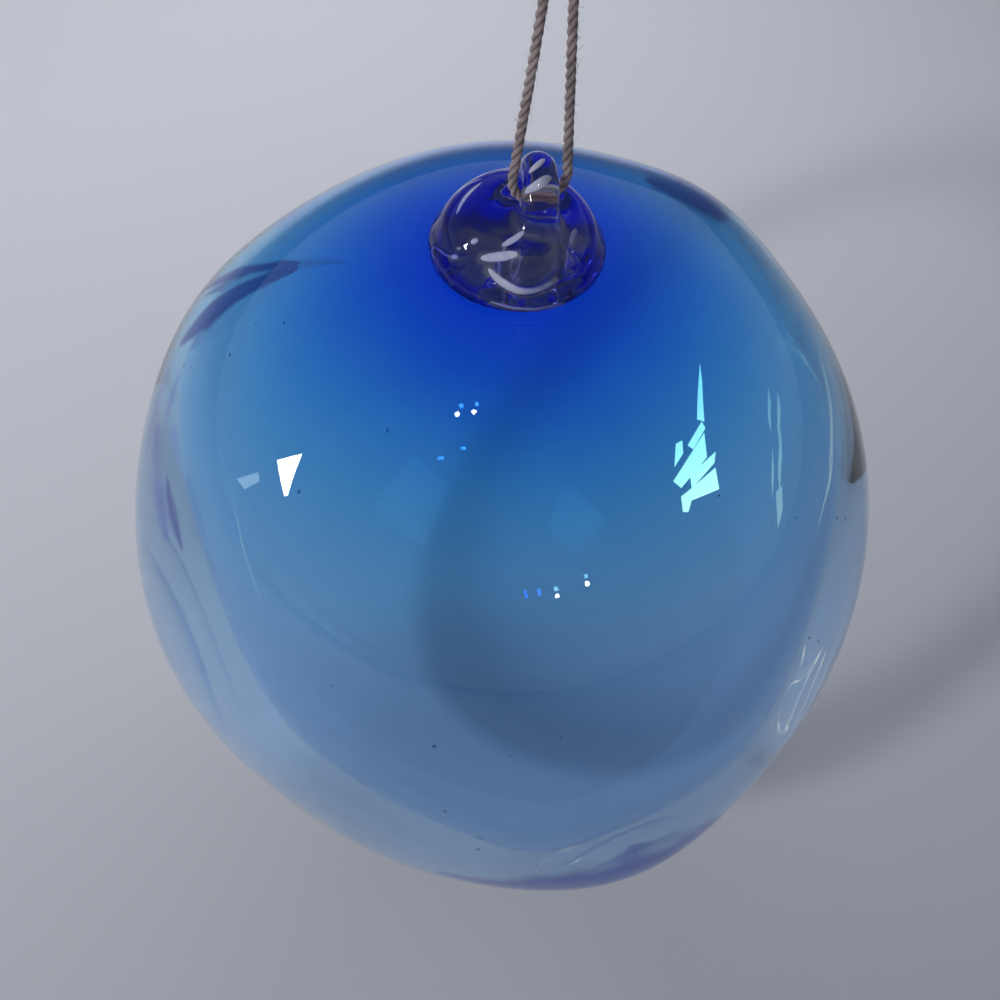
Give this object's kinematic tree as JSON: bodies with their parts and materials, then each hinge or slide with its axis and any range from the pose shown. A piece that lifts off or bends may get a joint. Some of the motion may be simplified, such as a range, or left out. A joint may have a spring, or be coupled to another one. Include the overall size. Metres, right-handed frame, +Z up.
{
  "type": "glass ball ornament",
  "caption": "Hand-blown blue glass ball ornament with a dark glass hanger knob, whose eye holds a short knotted loop of twine.",
  "frame": {"origin": "the top of the twine loop, between its two strands and under the knot, where a hook carries the hanging ornament", "axes": "+Z up as it hangs, front towards -Y, +X to the right seen from the front"},
  "size_m": [0.0893, 0.0899, 0.1452],
  "materials": {
    "ball_glass": "clear hollow blown glass, deep cobalt blue round the hanger and fading to pale steel blue below",
    "hanger_glass": "solid glossy cobalt blue glass, so deep that it looks navy, paler in the thin strap",
    "twine": "thin twisted natural twine, grey-brown, slightly hairy"
  },
  "bodies": {
    "root": {"glass_ball": "ball_glass", "hanger_knob": "hanger_glass", "hanging_twine": "twine", "cord_knot": "twine"}
  },
  "joints": []
}
